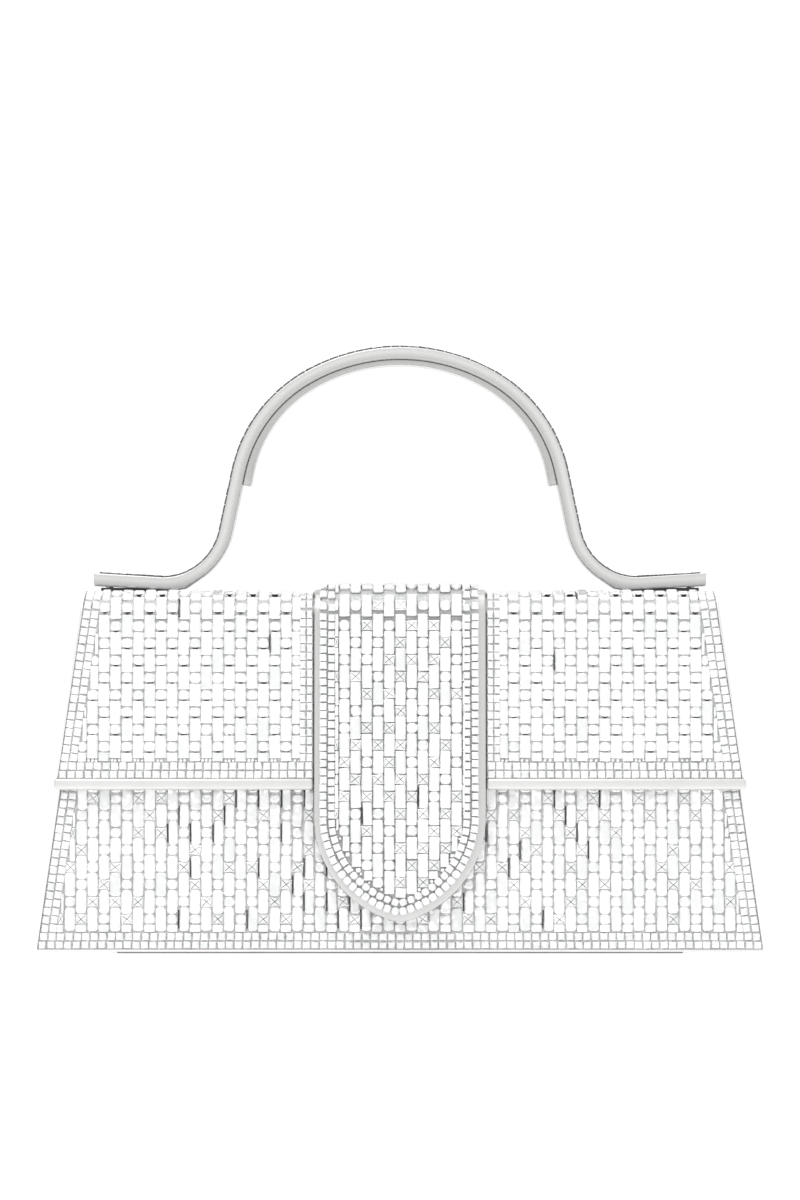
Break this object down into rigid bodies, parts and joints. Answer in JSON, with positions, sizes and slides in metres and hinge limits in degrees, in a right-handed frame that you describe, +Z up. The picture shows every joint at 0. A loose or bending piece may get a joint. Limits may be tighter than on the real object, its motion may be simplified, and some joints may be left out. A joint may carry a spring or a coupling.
{
  "type": "top-handle evening purse",
  "caption": "Structured trapezoid evening purse covered in clear crystals, with a rigid arched top handle and a folding flap closed by a pointed centre tab.",
  "frame": {"origin": "centre of the flat base, on the surface that the purse stands on", "axes": "+Z up, +X along the base's length to the right as seen from the front, and the front with its tab faces -Y"},
  "size_m": [0.21, 0.0665, 0.1772],
  "materials": {
    "crystal": "foil-backed cut glass stones in silver cups, very glossy",
    "silver_leather": "metallic silver satin",
    "satin_lining": "silver-grey satin weave",
    "board": "covered stiffener board",
    "steel": "nickel plated"
  },
  "bodies": {
    "body": {"bottom_pad": "silver_leather", "base_board": "silver_leather", "front_panel": "board", "back_panel": "board", "gusset_left": "board", "gusset_right": "board", "lining": "satin_lining", "mouth_binding": "silver_leather", "front_crystal_sheet": "crystal", "back_crystal_sheet": "crystal", "gusset_crystal_sheet_left": "crystal", "gusset_crystal_sheet_right": "crystal", "snap_socket": "steel", "snap_socket_washer": "steel", "rear_fold_lower": "silver_leather"},
    "flap_top": {"top_board": "board", "top_lining": "satin_lining", "top_crystal_sheet_left": "crystal", "top_crystal_sheet_right": "crystal", "rear_fold_upper": "silver_leather", "front_fold_upper": "silver_leather", "tab_top_strap": "silver_leather", "tab_top_crystals": "crystal", "handle_wrap": "silver_leather", "handle_core": "steel", "handle_crystal_strip": "crystal", "handle_grip": "silver_leather", "handle_plate_left": "steel", "handle_plate_right": "steel", "handle_screw_left_1": "steel", "handle_screw_left_2": "steel", "handle_screw_right_1": "steel", "handle_screw_right_2": "steel"},
    "flap_front": {"flap_board": "board", "flap_lining": "satin_lining", "flap_crystal_sheet_left": "crystal", "flap_crystal_sheet_right": "crystal", "flap_edge_binding_left": "silver_leather", "flap_edge_binding_right": "silver_leather", "front_fold_lower": "silver_leather", "tab_backing": "silver_leather", "tab_lining": "satin_lining", "tab_border_crystals": "crystal", "tab_field_crystals": "crystal", "snap_stud": "steel", "snap_stud_washer": "steel"}
  },
  "joints": [
    {"name": "flap_hinge", "type": "hinge", "parent": "body", "child": "flap_top", "pos_m": [0, 0.0179, 0.1019], "axis": [-1, 0, 0], "range_deg": [0, 95]},
    {"name": "flap_fold", "type": "hinge", "parent": "flap_top", "child": "flap_front", "pos_m": [0, -0.02273, 0.10163], "axis": [-1, 0, 0], "range_deg": [0, 80]}
  ]
}
